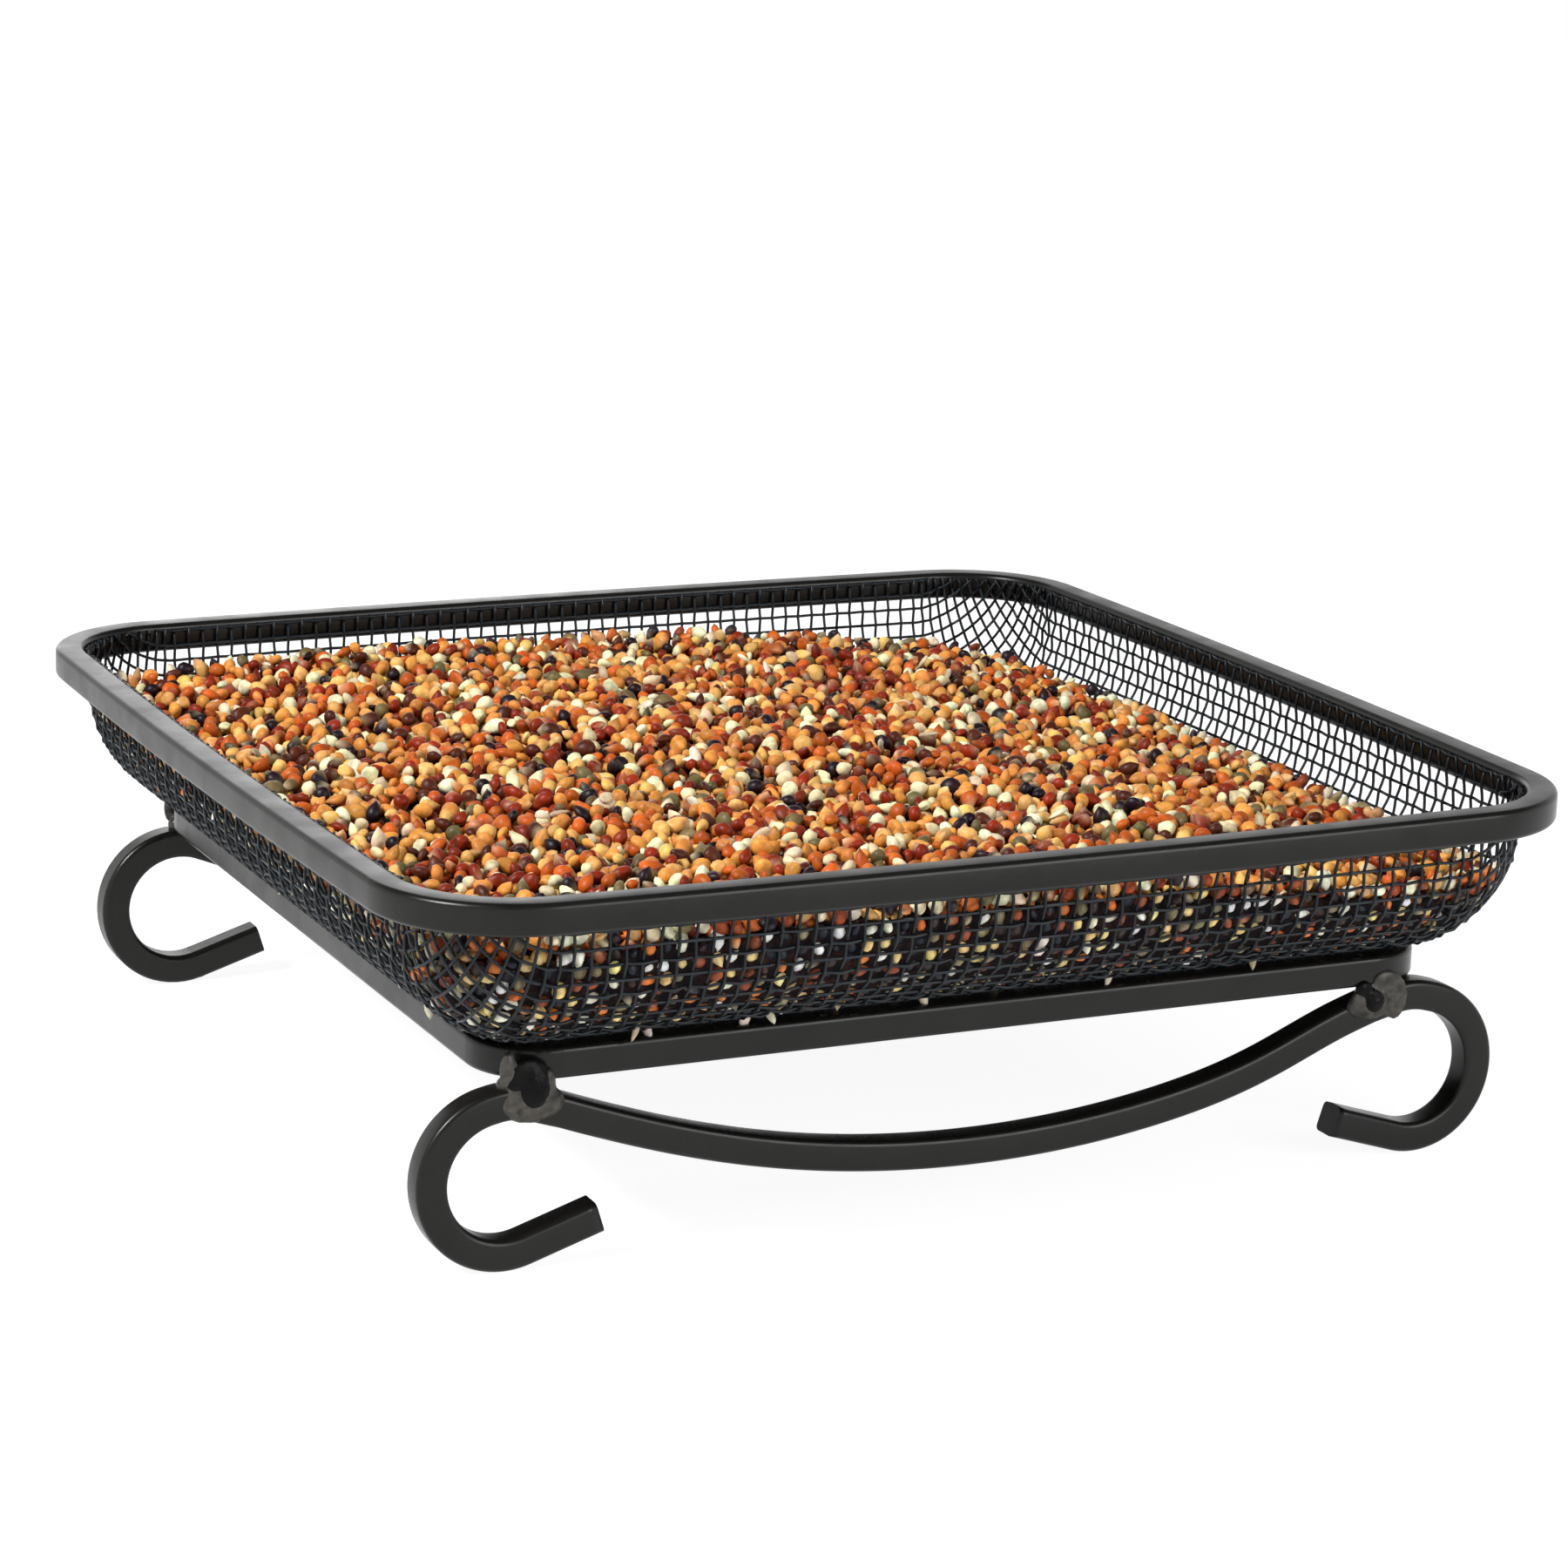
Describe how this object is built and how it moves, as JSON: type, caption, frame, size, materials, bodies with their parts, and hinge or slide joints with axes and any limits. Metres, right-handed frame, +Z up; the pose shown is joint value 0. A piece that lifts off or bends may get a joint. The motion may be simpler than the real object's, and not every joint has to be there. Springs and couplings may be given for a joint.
{
  "type": "platform bird feeder",
  "caption": "Low square ground tray feeder: a woven wire basket of loose seed in a bar rim, on a bar frame with scrolled legs.",
  "frame": {"origin": "on the ground under the middle of the tray, at the bottom of the leg scrolls", "axes": "+Z up, -Y towards the front leg, +X to the right of someone facing the front leg"},
  "size_m": [0.18, 0.18, 0.0547],
  "materials": {
    "powder_coat": "satin black powder coat over steel bar",
    "wire_cloth": "satin black coated wire cloth",
    "weld_coat": "black coat over uneven weld metal",
    "seed": "dry mixed millet, in red, tan, cream, brown and dark grains"
  },
  "bodies": {
    "root": {"top_rim": "powder_coat", "mesh_basket": "wire_cloth", "bottom_frame": "powder_coat", "front_leg": "powder_coat", "rear_leg": "powder_coat", "weld_beads": "weld_coat", "bird_seed": "seed"}
  },
  "joints": []
}
